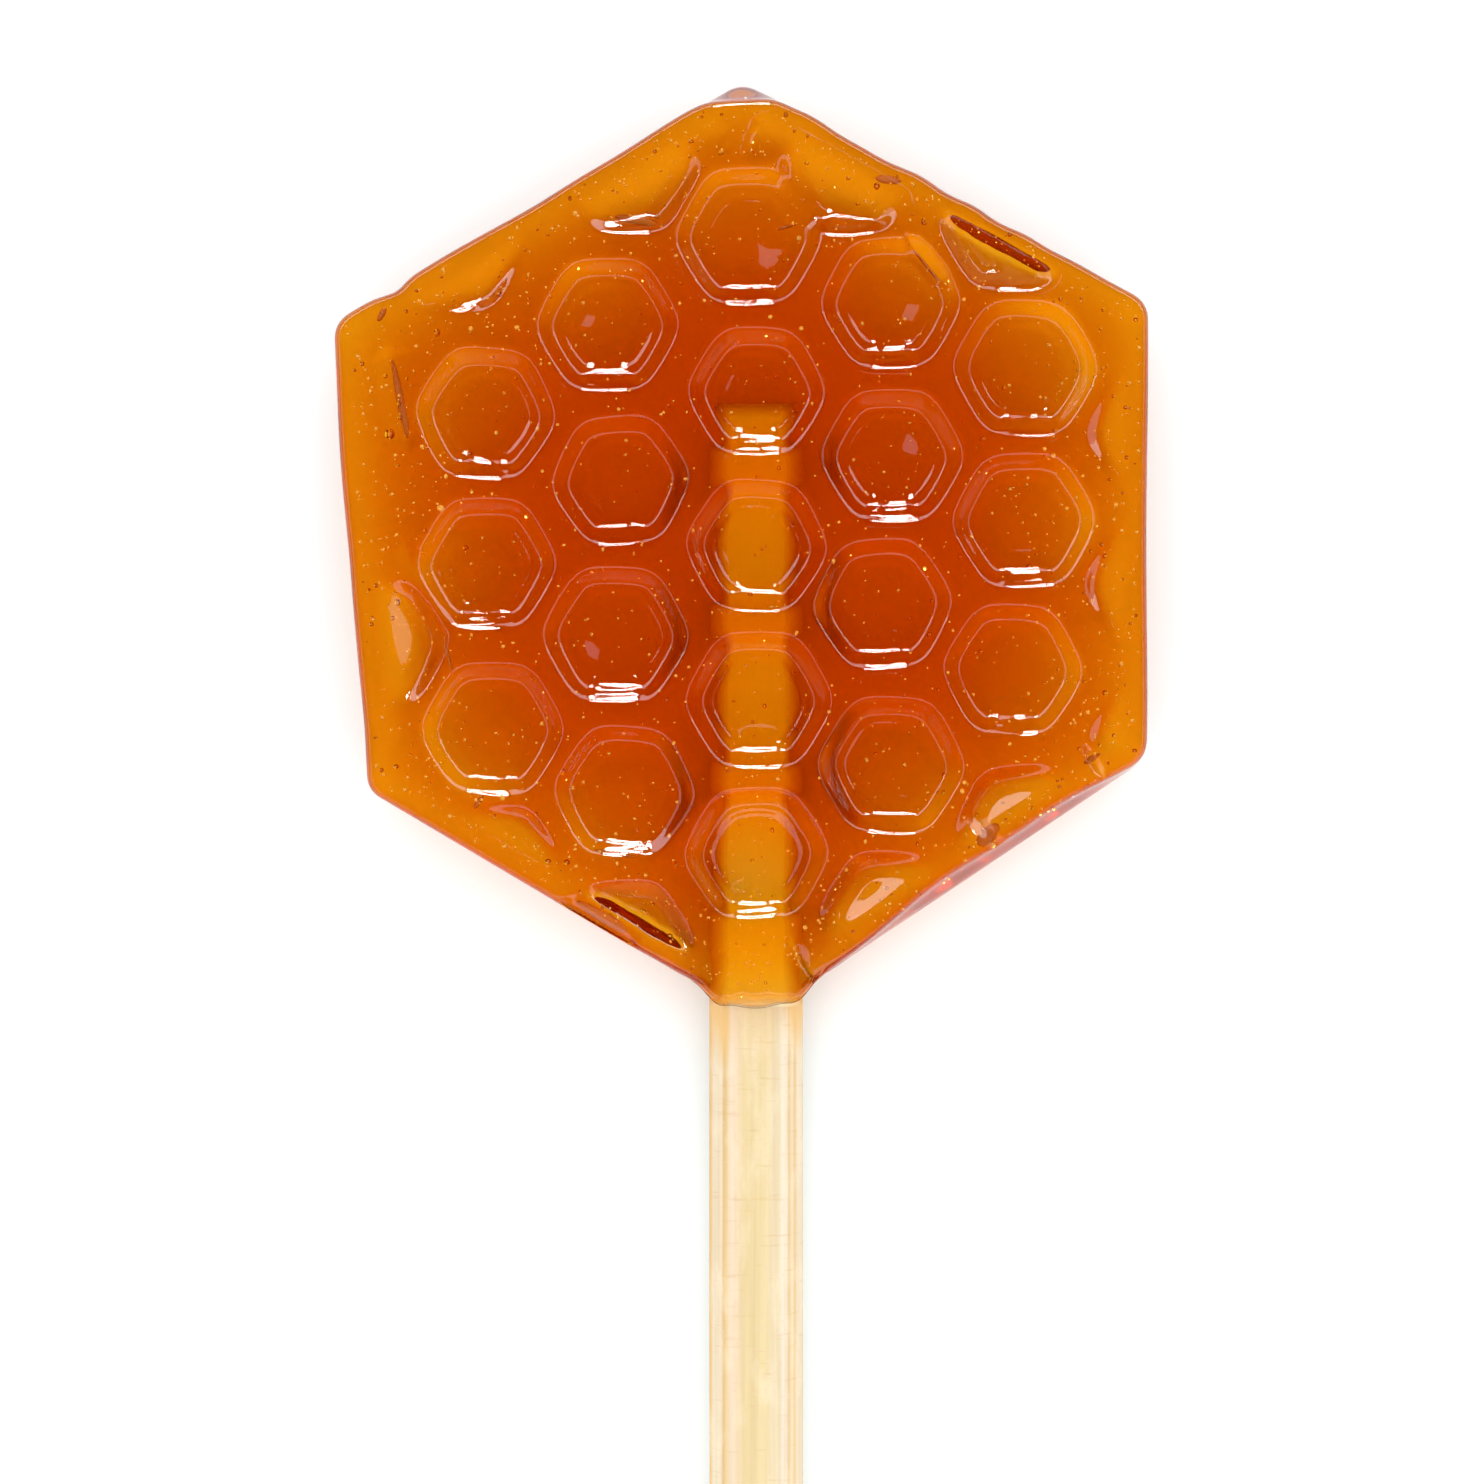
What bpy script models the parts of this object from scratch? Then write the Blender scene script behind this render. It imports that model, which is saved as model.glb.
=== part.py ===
"""A honey lollipop: a moulded hexagonal head of amber hard candy on a flat wooden stick.

It lies on its back with the honeycomb relief up (+Z) and the stick towards -Y. The front is
flat, as the mould was; the poured back bellies out and is thinnest all round the edge.
The origin is on the back of the head, under the middle of its outline.
"""

import bmesh
import bpy
from math import cos, pi, sin
from mathutils import Matrix, Vector

# ---------------------------------------------------------------- driving dimensions (metres)
MM = 0.001

HEAD_RADIUS = 25.2 * MM          # middle of the head to a corner of its outline
HEAD_THICKNESS = 7.5 * MM        # lowest point of the back to the front between the cells
SIDE_FOOT_Z = 3.2 * MM           # the upright sides start here, above the belly of the back
SIDE_DRAFT = 0.12 * MM           # how much each side leans in from foot to front
FRONT_EDGE_RADIUS = 0.4 * MM     # small rounding all round the front
FRONT_EDGE_FACETS = 2
CORNER_RADIUS = 1.3 * MM         # upright edges at five of the corners
CORNER_FACETS = 3
STICK_CORNER_RADIUS = 2.8 * MM   # the corner that closes over the stick is blunter
STICK_CORNER_FACETS = 4

# The belly of the back, ring by ring: how far in from the outline, and the height there.
BELLY_RINGS = (
    (0.35 * MM, 2.75 * MM),
    (1.30 * MM, 2.35 * MM),
    (3.00 * MM, 1.80 * MM),
    (5.00 * MM, 1.22 * MM),
    (7.00 * MM, 0.75 * MM),
    (9.00 * MM, 0.40 * MM),
    (12.50 * MM, 0.0),
)

# The poured head isn't a true hexagon: how far each corner drifts off one, in x and y.
# The corners run anticlockwise from the one on the stick.
CORNER_DRIFT = (
    (0.57 * MM, -1.30 * MM),
    (0.16 * MM, 0.45 * MM),
    (0.27 * MM, 0.40 * MM),
    (-0.34 * MM, 0.10 * MM),
    (-0.84 * MM, -0.79 * MM),
    (1.03 * MM, -1.24 * MM),
)

# The comb: hexagonal cells in upright columns, each column a little higher than the last.
CELL_PITCH = 8.42 * MM           # cell to cell along a column
COLUMN_STEP = 7.26 * MM          # column to column
COLUMN_RISE = 0.68 * MM          # how much each column to the right is lifted
COMB_MIDDLE = (0.57 * MM, -0.45 * MM)
COMB_RINGS = 3                   # rings of cells round the middle one
CELL_DEPTH = 1.1 * MM
# A cell's section, two rolled steps with a ledge between: corner radius, and share of the depth.
CELL_STEPS = (
    (3.00 * MM, 1.00),
    (3.35 * MM, 0.50),
    (3.68 * MM, 0.40),
    (4.20 * MM, 0.0),
)
CELL_CORNER_RADIUS = 0.8 * MM    # the cells' own upright corners are soft
CELL_FACETS = 2
PLAIN_BORDER = 1.5 * MM          # cells that run out at the edge stop this far inside the outline
CELL_REACH = 1.0 * MM            # a cell is left out when its middle is further outside than this
# Cells that the mould pressed a little aside, by column and half steps up it: x and y.
CELL_NUDGES = {
    (0, 4): (-0.50 * MM, 0.0),
    (-1, 3): (-0.90 * MM, 0.10 * MM),
    (-1, 1): (-0.20 * MM, 0.0),
    (-1, -1): (-0.45 * MM, 0.0),
    (1, -1): (-0.42 * MM, 0.30 * MM),
    (2, -2): (-0.60 * MM, 0.42 * MM),
    (-2, -2): (0.17 * MM, -0.22 * MM),
    (-2, 0): (-0.17 * MM, 0.38 * MM),
    (-2, 2): (-0.30 * MM, 0.10 * MM),
    (1, 5): (-1.70 * MM, -0.65 * MM),
    (2, 4): (-0.55 * MM, -0.40 * MM),
    (-1, 5): (0.20 * MM, 0.40 * MM),
    (-2, 4): (-2.0 * MM, 1.35 * MM),
    (-2, -4): (0.30 * MM, 0.60 * MM),
}

# The stick, a planed strip of pale wood with a broad chamfer along each long edge.
STICK_WIDTH = 5.25 * MM
STICK_THICKNESS = 2.7 * MM
STICK_CHAMFER = 0.85 * MM
STICK_END_CHAMFER = 0.25 * MM
STICK_LENGTH = 110.0 * MM
STICK_TOP_Y = 7.4 * MM           # its upper end, just above the middle of the head
STICK_X = 0.50 * MM              # it stands a little to the right of the middle
STICK_LIFT = 0.95 * MM           # candy under the stick
SLOT_MOUTH_Y = -1.3 * HEAD_RADIUS    # the stick's slot is cut from well outside the head

# The collar: candy that closed round the stick where it leaves the head, and the dip over it.
COLLAR_HALF_WIDTH = 3.35 * MM
COLLAR_INNER_Y = -9.0 * MM
COLLAR_OUTER_Y = -25.7 * MM
COLLAR_LOW_Z = 0.42 * MM
COLLAR_HIGH_Z = 5.2 * MM
COLLAR_EDGE = 0.7 * MM
DIP_START_Y = -16.0 * MM         # from here the front slopes down to the collar's end
DIP_END_Z = 5.6 * MM

GAP = 0.3 * MM                   # clearance between the stick and the candy round it
LEVEL = 0.01 * MM                # points closer than this to a face's height lie on it

AMBER = (0.53, 0.10, 0.002)      # linear red, green and blue
AMBER_ROUGHNESS = 0.06
WOOD = (0.93, 0.76, 0.48)
WOOD_ROUGHNESS = 0.62


# ---------------------------------------------------------------- helpers
def new_collection(name):
    collection = bpy.data.collections.new(name)
    bpy.context.scene.collection.children.link(collection)
    return collection


def add_object(name, mesh_builder, collection, material=None):
    mesh = bpy.data.meshes.new(name)
    mesh_builder.to_mesh(mesh)
    mesh_builder.free()
    obj = bpy.data.objects.new(name, mesh)
    collection.objects.link(obj)
    if material:
        mesh.materials.append(material)
    return obj


def plain_material(name, colour, roughness, transmission=0.0):
    material = bpy.data.materials.new(name)
    material.use_nodes = True
    shader = material.node_tree.nodes["Principled BSDF"]
    shader.inputs["Base Color"].default_value = (*colour, 1.0)
    shader.inputs["Roughness"].default_value = roughness
    shader.inputs["Metallic"].default_value = 0.0
    shader.inputs["Transmission Weight"].default_value = transmission
    return material


def edges_where(bm, test):
    return [edge for edge in bm.edges if test(edge.verts[0].co, edge.verts[1].co)]


def round_edges(bm, edges, radius, segments):
    bmesh.ops.bevel(bm, geom=edges, offset=radius, offset_type='OFFSET', segments=segments,
                    profile=0.5, affect='EDGES', clamp_overlap=True)


def corner_angle(index):
    """Angle of the head's corner number index, counted anticlockwise from the stick."""
    return -pi / 2 + index * pi / 3


def true_corner(index):
    angle = corner_angle(index)
    return Vector((HEAD_RADIUS * cos(angle), HEAD_RADIUS * sin(angle)))


def corner_point(index):
    return true_corner(index) + Vector(CORNER_DRIFT[index])


# ---------------------------------------------------------------- head
def head_blank():
    """The head before it is cut: a six-sided frustum with its back drawn down into the belly."""
    bm = bmesh.new()
    front_radius = HEAD_RADIUS - SIDE_DRAFT / cos(pi / 6)
    tall = HEAD_THICKNESS - SIDE_FOOT_Z
    bmesh.ops.create_cone(bm, cap_ends=True, cap_tris=False, segments=6,
                          radius1=HEAD_RADIUS, radius2=front_radius, depth=tall,
                          matrix=Matrix.Translation((0, 0, SIDE_FOOT_Z + tall / 2)))
    for vert in bm.verts:
        nearest = min(range(6), key=lambda i: (true_corner(i) - vert.co.xy).length)
        vert.co += Vector((*CORNER_DRIFT[nearest], 0.0))
    # only the corner on the stick reaches further down than this
    lower_corners_y = (corner_point(1).y + corner_point(0).y) / 2
    upright = tall / 2
    round_edges(bm, edges_where(bm, lambda a, b: abs(a.z - b.z) > upright
                                and a.y > lower_corners_y), CORNER_RADIUS, CORNER_FACETS)
    round_edges(bm, edges_where(bm, lambda a, b: abs(a.z - b.z) > upright
                                and a.y < lower_corners_y),
                STICK_CORNER_RADIUS, STICK_CORNER_FACETS)
    round_edges(bm, edges_where(bm, lambda a, b: min(a.z, b.z) > HEAD_THICKNESS - LEVEL),
                FRONT_EDGE_RADIUS, FRONT_EDGE_FACETS)
    inradius = HEAD_RADIUS * cos(pi / 6)
    back = min(bm.faces, key=lambda face: face.calc_center_median().z)
    drawn_in = 0.0
    for inset, height in BELLY_RINGS:
        grown = bmesh.ops.extrude_discrete_faces(bm, faces=[back])
        back = grown["faces"][0]
        shrink = (inradius - inset) / (inradius - drawn_in)
        bmesh.ops.scale(bm, verts=back.verts, vec=(shrink, shrink, 1.0))
        for vert in back.verts:
            vert.co.z = height
        drawn_in = inset
    return bm


def dip_over_stick(bm):
    """Slices the front off obliquely where it slopes down to the stick."""
    start = Vector((0.0, DIP_START_Y, HEAD_THICKNESS))
    end = Vector((0.0, COLLAR_OUTER_Y, DIP_END_Z))
    along = (start - end).normalized()
    slice_with_plane(bm, start, Vector((0.0, -along.z, along.y)))


def slice_with_plane(bm, point, normal):
    """Takes off everything on the side that the normal points to and closes the cut."""
    everything = bm.verts[:] + bm.edges[:] + bm.faces[:]
    made = bmesh.ops.bisect_plane(bm, geom=everything, dist=LEVEL / 10, plane_co=point,
                                  plane_no=normal, clear_outer=True)
    rim = [item for item in made["geom_cut"] if isinstance(item, bmesh.types.BMEdge)]
    if rim:
        bmesh.ops.contextual_create(bm, geom=rim)


def collar():
    """A box with blunt edges round the stick, from inside the head to where the stick leaves it."""
    bm = bmesh.new()
    bmesh.ops.create_cube(bm, size=1.0)
    bmesh.ops.scale(bm, verts=bm.verts, vec=(2 * COLLAR_HALF_WIDTH,
                                             COLLAR_INNER_Y - COLLAR_OUTER_Y,
                                             COLLAR_HIGH_Z - COLLAR_LOW_Z))
    bmesh.ops.translate(bm, verts=bm.verts, vec=(STICK_X, (COLLAR_INNER_Y + COLLAR_OUTER_Y) / 2,
                                                 (COLLAR_LOW_Z + COLLAR_HIGH_Z) / 2))
    round_edges(bm, bm.edges[:], COLLAR_EDGE, CELL_FACETS)
    return bm


def distance_inside(point, corners):
    """How far a point lies inside the outline, negative outside."""
    distances = []
    for start, end in zip(corners, corners[1:] + corners[:1]):
        side = (end - start).normalized()
        inward = Vector((-side.y, side.x))
        distances.append((point - start).dot(inward))
    return min(distances)


def cell_middles():
    """The comb's cells that lie on the head, whole ones and those that run out at its edge."""
    corners = [corner_point(i) for i in range(6)]
    middles = []
    for column in range(-COMB_RINGS, COMB_RINGS + 1):
        # along a column the cells stand two half pitches apart, the next column one half higher
        reach = 2 * COMB_RINGS - abs(column)
        for half_steps in range(-reach, reach + 1, 2):
            offset = Vector((column * COLUMN_STEP,
                             column * COLUMN_RISE + half_steps * CELL_PITCH / 2))
            nudge = Vector(CELL_NUDGES.get((column, half_steps), (0.0, 0.0)))
            middle = Vector(COMB_MIDDLE) + offset + nudge
            # the left border is plain: no cell of the outermost column was pressed there
            if column > -COMB_RINGS and distance_inside(middle, corners) > -CELL_REACH:
                middles.append(middle)
    return middles


def cell_cutter(middle, collection, number):
    """A hexagonal funnel in two steps, flat sides up and down, kept off the head's border."""
    bm = bmesh.new()
    floor_radius = CELL_STEPS[0][0]
    first_radius, first_share = CELL_STEPS[1]
    first_rise = (1 - first_share) * CELL_DEPTH
    turn = Matrix.Rotation(pi / 6, 4, 'Z')
    floor_z = HEAD_THICKNESS - CELL_DEPTH
    lift = Matrix.Translation((middle.x, middle.y, floor_z + first_rise / 2))
    bmesh.ops.create_cone(bm, cap_ends=True, cap_tris=False, segments=6,
                          radius1=floor_radius, radius2=first_radius,
                          depth=first_rise, matrix=lift @ turn)
    round_edges(bm, edges_where(bm, lambda a, b: abs(a.z - b.z) > first_rise / 2),
                CELL_CORNER_RADIUS, CELL_FACETS)
    top = max(bm.faces, key=lambda face: face.calc_center_median().z)
    radius = first_radius
    to_middle = Matrix.Translation((-middle.x, -middle.y, 0.0))
    above_front = (CELL_STEPS[-1][0], -1.0)
    for next_radius, share in CELL_STEPS[2:] + (above_front,):
        grown = bmesh.ops.extrude_discrete_faces(bm, faces=[top])
        top = grown["faces"][0]
        bmesh.ops.scale(bm, verts=top.verts, vec=(next_radius / radius, next_radius / radius, 1.0),
                        space=to_middle)
        for vert in top.verts:
            vert.co.z = HEAD_THICKNESS - share * CELL_DEPTH
        radius = next_radius
    corners = [corner_point(i) for i in range(6)]
    for start, end in zip(corners, corners[1:] + corners[:1]):
        side = (end - start).normalized()
        outward = Vector((side.y, -side.x, 0.0))
        on_border = start.to_3d() - outward * PLAIN_BORDER
        slice_with_plane(bm, on_border, outward)
    if not bm.verts:
        bm.free()
        return None
    return add_object(f"cell_cutter_{number:02d}", bm, collection)


# ---------------------------------------------------------------- stick
def strip(width, thickness, length, chamfer, end_chamfer=0.0):
    """A box lying along Y with chamfered long edges and, if asked, chamfered ends."""
    bm = bmesh.new()
    bmesh.ops.create_cube(bm, size=1.0)
    bmesh.ops.scale(bm, verts=bm.verts, vec=(width, length, thickness))
    long_edges = edges_where(bm, lambda a, b: abs(a.y - b.y) > length / 2)
    round_edges(bm, long_edges, chamfer, 1)
    if end_chamfer:
        ends = edges_where(bm, lambda a, b: abs(a.y - b.y) < length / 2)
        round_edges(bm, ends, end_chamfer, 1)
    return bm


def stick_bar():
    bm = strip(STICK_WIDTH, STICK_THICKNESS, STICK_LENGTH, STICK_CHAMFER, STICK_END_CHAMFER)
    bmesh.ops.translate(bm, verts=bm.verts,
                        vec=(STICK_X, STICK_TOP_Y - STICK_LENGTH / 2,
                             STICK_LIFT + STICK_THICKNESS / 2))
    return bm


def slot_bar():
    """The hollow that the stick sits in: the stick's own section, larger by the gap all round."""
    end_y = STICK_TOP_Y + GAP
    bm = strip(STICK_WIDTH + 2 * GAP, STICK_THICKNESS + 2 * GAP, end_y - SLOT_MOUTH_Y,
               STICK_CHAMFER + GAP / 2)
    bmesh.ops.translate(bm, verts=bm.verts,
                        vec=(STICK_X, (end_y + SLOT_MOUTH_Y) / 2,
                             STICK_LIFT + STICK_THICKNESS / 2))
    return bm


# ---------------------------------------------------------------- build
def join_or_cut(obj, operation, others):
    modifier = obj.modifiers.new(operation.lower(), 'BOOLEAN')
    modifier.operation = operation
    modifier.solver = 'EXACT'
    modifier.operand_type = 'COLLECTION'
    modifier.collection = others


def build():
    for obj in list(bpy.data.objects):
        bpy.data.objects.remove(obj, do_unlink=True)

    parts = new_collection("honey_lollipop")
    joined = new_collection("joined")
    cutters = new_collection("cutters")

    amber = plain_material("amber_hard_candy", AMBER, AMBER_ROUGHNESS, transmission=1.0)
    wood = plain_material("pale_planed_wood", WOOD, WOOD_ROUGHNESS)

    blank = head_blank()
    dip_over_stick(blank)
    candy = add_object("candy", blank, parts, amber)
    add_object("stick_collar", collar(), joined)
    for number, middle in enumerate(cell_middles()):
        cell_cutter(middle, cutters, number)
    add_object("stick_slot", slot_bar(), cutters)
    for guide in joined.objects[:] + cutters.objects[:]:
        guide.hide_render = True
        guide.display_type = 'WIRE'
    join_or_cut(candy, 'UNION', joined)
    join_or_cut(candy, 'DIFFERENCE', cutters)

    add_object("stick", stick_bar(), parts, wood)


build()
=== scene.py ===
"""A honey lollipop lying on a white table: amber boiled sugar with a honeycomb front, moulded
round a flat wooden stick. Metres, +Z up out of the honeycomb, the stick towards -Y."""

import bmesh
import bpy
import numpy as np
from math import cos, pi, radians, sin, tan
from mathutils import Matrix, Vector, kdtree, noise


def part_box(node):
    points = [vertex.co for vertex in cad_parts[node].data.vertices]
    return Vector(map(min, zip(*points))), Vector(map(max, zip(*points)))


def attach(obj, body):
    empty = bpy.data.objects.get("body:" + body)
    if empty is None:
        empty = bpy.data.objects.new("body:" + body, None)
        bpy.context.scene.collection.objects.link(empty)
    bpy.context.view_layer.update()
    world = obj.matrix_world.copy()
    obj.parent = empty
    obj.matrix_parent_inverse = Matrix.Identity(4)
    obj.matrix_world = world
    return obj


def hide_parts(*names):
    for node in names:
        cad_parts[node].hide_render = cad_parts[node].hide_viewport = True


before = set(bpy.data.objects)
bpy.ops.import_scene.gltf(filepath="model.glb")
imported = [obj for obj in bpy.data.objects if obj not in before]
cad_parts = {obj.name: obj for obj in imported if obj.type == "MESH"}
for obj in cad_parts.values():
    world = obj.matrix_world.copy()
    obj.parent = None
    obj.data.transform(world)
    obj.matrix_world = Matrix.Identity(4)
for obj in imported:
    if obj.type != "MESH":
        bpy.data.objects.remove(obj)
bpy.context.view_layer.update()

MM = 0.001

# ------------------------------------------------------------------------------ the stick
# A flat strip of birch, sawn and planed with a broad chamfer along each long edge. It was laid
# in the mould before the sugar was poured, so its upper end stays in the middle of the head.
stick_low, stick_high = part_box("stick")
STICK_CHAMFER = 0.85 * MM
STICK_EDGE = 0.16 * MM           # the planed edges are slightly blunt
STICK_GROOVE = 0.05 * MM         # a shallow line planed beside each chamfer
STICK_GROOVE_HALF = 0.12 * MM
STICK_END_RIM = 0.08 * MM        # each sawn end keeps a hair-thin rim
STICK_CUTS = 90                  # cross cuts, for the unevenness of the planed faces
STICK_UNEVEN = 0.05 * MM
STICK_UNEVEN_LENGTH = 1.6 * MM
STICK_UNEVEN_STRETCH = 0.12      # the planed faces wander slowly along the stick


def linear(hex_colour):
    """The linear red, green and blue of an sRGB hex colour."""
    parts = [int(hex_colour[i:i + 2], 16) / 255 for i in (1, 3, 5)]
    return [c / 12.92 if c <= 0.04045 else ((c + 0.055) / 1.055) ** 2.4 for c in parts]


def add_node(tree, kind, settings=None, inputs=None):
    """A node of that kind with its settings; an input is a value or another node's output."""
    made = tree.nodes.new(kind)
    for key, value in (settings or {}).items():
        setattr(made, key, value)
    for key, value in (inputs or {}).items():
        if isinstance(value, bpy.types.NodeSocket):
            tree.links.new(value, made.inputs[key])
        else:
            made.inputs[key].default_value = value
    return made


def new_material(name):
    material = bpy.data.materials.new(name)
    material.use_nodes = True
    material.node_tree.nodes.clear()
    return material, material.node_tree


def edit_where(obj, kind, test):
    """Opens obj in edit mode with only those faces, edges or verts selected that pass a test."""
    bpy.ops.object.select_all(action='DESELECT')
    bpy.context.view_layer.objects.active = obj
    obj.select_set(True)
    bpy.ops.object.mode_set(mode='EDIT')
    modes = {"verts": 'VERT', "edges": 'EDGE', "faces": 'FACE'}
    bpy.ops.mesh.select_mode(type=modes[kind])
    bpy.ops.mesh.select_all(action='DESELECT')
    bm = bmesh.from_edit_mesh(obj.data)
    for item in getattr(bm, kind):
        item.select_set(test(item))
    bm.select_flush_mode()
    bmesh.update_edit_mesh(obj.data)


def points_of(obj):
    co = np.empty(len(obj.data.vertices) * 3)
    obj.data.vertices.foreach_get("co", co)
    return co.reshape(-1, 3)


def set_points(obj, co):
    obj.data.vertices.foreach_set("co", np.ascontiguousarray(co, dtype=np.float64).ravel())
    obj.data.update()


def lies_along_y(edge):
    a, b = (v.co for v in edge.verts)
    return abs(a.y - b.y) > 0.9 * (a - b).length


def uneven(points, size, seed):
    """Smooth noise from -1 to 1 at each point, its bumps about size across."""
    shift = Vector((seed * 7.31, seed * -3.17, seed * 5.93))
    return np.array([noise.noise(Vector(p) / size + shift) for p in points])


middle = (stick_low + stick_high) / 2
size = stick_high - stick_low
bpy.ops.object.select_all(action='DESELECT')
bpy.ops.mesh.primitive_cube_add(size=1.0, location=middle, scale=size)
stick = bpy.context.active_object
stick.name = "stick_birch"
bpy.ops.object.transform_apply(location=True, rotation=True, scale=True)
edit_where(stick, "edges", lies_along_y)
bpy.ops.mesh.bevel(offset=STICK_CHAMFER, segments=1, affect='EDGES')
bpy.ops.object.mode_set(mode='OBJECT')
edit_where(stick, "edges", lies_along_y)
bpy.ops.mesh.bevel(offset=STICK_EDGE, segments=4, affect='EDGES')
bpy.ops.object.mode_set(mode='OBJECT')
edit_where(stick, "faces", lambda f: abs(f.normal.y) > 0.9)
bpy.ops.mesh.inset(thickness=STICK_END_RIM, depth=0.0)
bpy.ops.object.mode_set(mode='OBJECT')
edit_where(stick, "edges", lies_along_y)
bpy.ops.mesh.subdivide(number_cuts=STICK_CUTS)
bpy.ops.object.mode_set(mode='OBJECT')
co = points_of(stick)
# the blunt edges beside the top face dip into a groove, and every face wanders a little
facet = np.abs(np.abs(co[:, 0] - middle.x) - (size.x / 2 - STICK_CHAMFER))
groove = np.exp(-(facet / STICK_GROOVE_HALF) ** 2) * (co[:, 2] > middle.z)
co[:, 2] -= STICK_GROOVE * groove
stretched = co * (1.0, STICK_UNEVEN_STRETCH, 1.0)
outward = np.sign(co - np.array(middle)) * (1.0, 0.0, 1.0)
wander = uneven(stretched, STICK_UNEVEN_LENGTH, 1)[:, None]
co -= outward * STICK_UNEVEN * (0.5 + 0.5 * wander)
set_points(stick, co)
bpy.ops.object.select_all(action='DESELECT')
stick.select_set(True)
bpy.context.view_layer.objects.active = stick
bpy.ops.object.shade_smooth_by_angle(angle=radians(28))

# Birch, planed and left bare: matt cream, yellower along the middle, with painted side light that
# makes the chamfers paler, tan lines along the chamfers' edges, fine long grain, short pinkish and white
# flecks, and a golden stain of syrup that crept out of the candy along the chamfers. Inside the candy
# the wood is painted far paler, a painted brightening for light that doesn't reach it there, and browner
# towards its edges and its sawn end.
birch, tree = new_material("birch_planed_bare")
wood_place = add_node(tree, 'ShaderNodeTexCoord').outputs["Object"]
wood_xyz = add_node(tree, 'ShaderNodeSeparateXYZ', {}, {"Vector": wood_place})
# each pattern's marks: millimetres across the stick, along it and through it, and their detail.
# Birch's own pores, under 0.1 mm, are too fine to show, so the grain and flecks are drawn coarser.
WOOD_MARKS = {
    "wander": ((8.333, 16.667, 8.333), 2.0),
    "grain": ((0.3125, 16.667, 0.3125), 4.0),
    "mottle": ((1.111, 2.857, 1.111), 4.0),
    "cross_marks": ((2.0, 0.2778, 2.0), 2.0),
    "pink_flecks": ((0.2381, 0.3846, 0.2381), 1.0),
    "syrup_edge": ((1.111, 8.333, 1.111), 2.0),
    "planing": ((0.3846, 3.333, 0.3846), 3.0),
}
marks = {}
for name, (lengths, detail) in WOOD_MARKS.items():
    scaled = add_node(tree, 'ShaderNodeMapping', {}, {
        "Vector": wood_place, "Scale": [1 / (length * MM) for length in lengths]})
    marks[name] = add_node(tree, 'ShaderNodeTexNoise', {}, {
        "Vector": scaled.outputs[0], "Scale": 1.0, "Detail": detail,
        "Roughness": 0.55}).outputs["Fac"]

# bands across the stick: millimetres from its middle and colour; the paler bands on the chamfers are
# painted side light
STICK_BANDS = (
    (-2.65, "#C5AA80"), (-2.52, "#D3AA69"), (-2.38, "#D6C7AA"), (-1.92, "#D8C9AB"),
    (-1.80, "#CFA86A"), (-1.58, "#DAC497"), (-1.40, "#DDC8AF"), (-0.85, "#DBC59D"),
    (-0.65, "#D7C290"), (0.45, "#D7C392"), (0.95, "#D7C6A1"), (1.38, "#DACBAB"),
    (1.50, "#DFD2BE"), (1.72, "#DBCEB5"), (1.84, "#D5B480"), (2.02, "#DBCBA9"),
    (2.16, "#D3B37E"), (2.32, "#D9CAAD"), (2.58, "#D5C5A7"), (2.65, "#C8B18C"),
)
BANDS_HALF = 2.65 * MM
BANDS_WANDER = 0.10 * MM
wander = add_node(tree, 'ShaderNodeMapRange', {}, {
    "Value": marks["wander"], "To Min": -BANDS_WANDER, "To Max": BANDS_WANDER}).outputs[0]
wandered = add_node(tree, 'ShaderNodeMath', {'operation': 'ADD'}, {
    0: wood_xyz.outputs["X"], 1: wander}).outputs[0]
across_bands = add_node(tree, 'ShaderNodeMapRange', {}, {
    "Value": wandered, "From Min": middle.x - BANDS_HALF,
    "From Max": middle.x + BANDS_HALF}).outputs[0]
bands = add_node(tree, 'ShaderNodeValToRGB', {}, {"Fac": across_bands})
ramp_stops = bands.color_ramp.elements
for from_middle, colour in STICK_BANDS[1:-1]:
    stop = ramp_stops.new((from_middle * MM + BANDS_HALF) / (2 * BANDS_HALF))
    stop.color = (*linear(colour), 1)
ramp_stops[0].color = (*linear(STICK_BANDS[0][1]), 1)
ramp_stops[-1].color = (*linear(STICK_BANDS[-1][1]), 1)

SYRUP_Y = (-28.6 * MM, -26.4 * MM)       # from where the stain starts to where it is full
SYRUP_FRAY = 1.3 * MM
CHAMFER_X = (1.35 * MM, 1.65 * MM)       # from here outwards the stain is on the chamfers
# past this the wood is painted far paler, a painted brightening for light that doesn't reach it inside
# the candy
INSIDE_CANDY_Y = (-25.85 * MM, -25.6 * MM)     # where the stick goes into the candy
BROWNER_EDGE_X = (1.5 * MM, 2.7 * MM)     # its edges inside the candy look browner
BROWNER_END_Y = (stick_high.y - 0.8 * MM, stick_high.y - 0.1 * MM)    # and its sawn end browner still
syrup_fray = add_node(tree, 'ShaderNodeMapRange', {}, {
    "Value": marks["syrup_edge"], "From Min": 0.3, "From Max": 0.7,
    "To Min": -SYRUP_FRAY, "To Max": SYRUP_FRAY}).outputs[0]
syrup_reach = add_node(tree, 'ShaderNodeMath', {'operation': 'ADD'}, {
    0: wood_xyz.outputs["Y"], 1: syrup_fray}).outputs[0]
to_one_side = add_node(tree, 'ShaderNodeMath', {'operation': 'SUBTRACT'}, {
    0: wood_xyz.outputs["X"], 1: middle.x}).outputs[0]
off_middle = add_node(tree, 'ShaderNodeMath', {'operation': 'ABSOLUTE'}, {0: to_one_side}).outputs[0]
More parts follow.
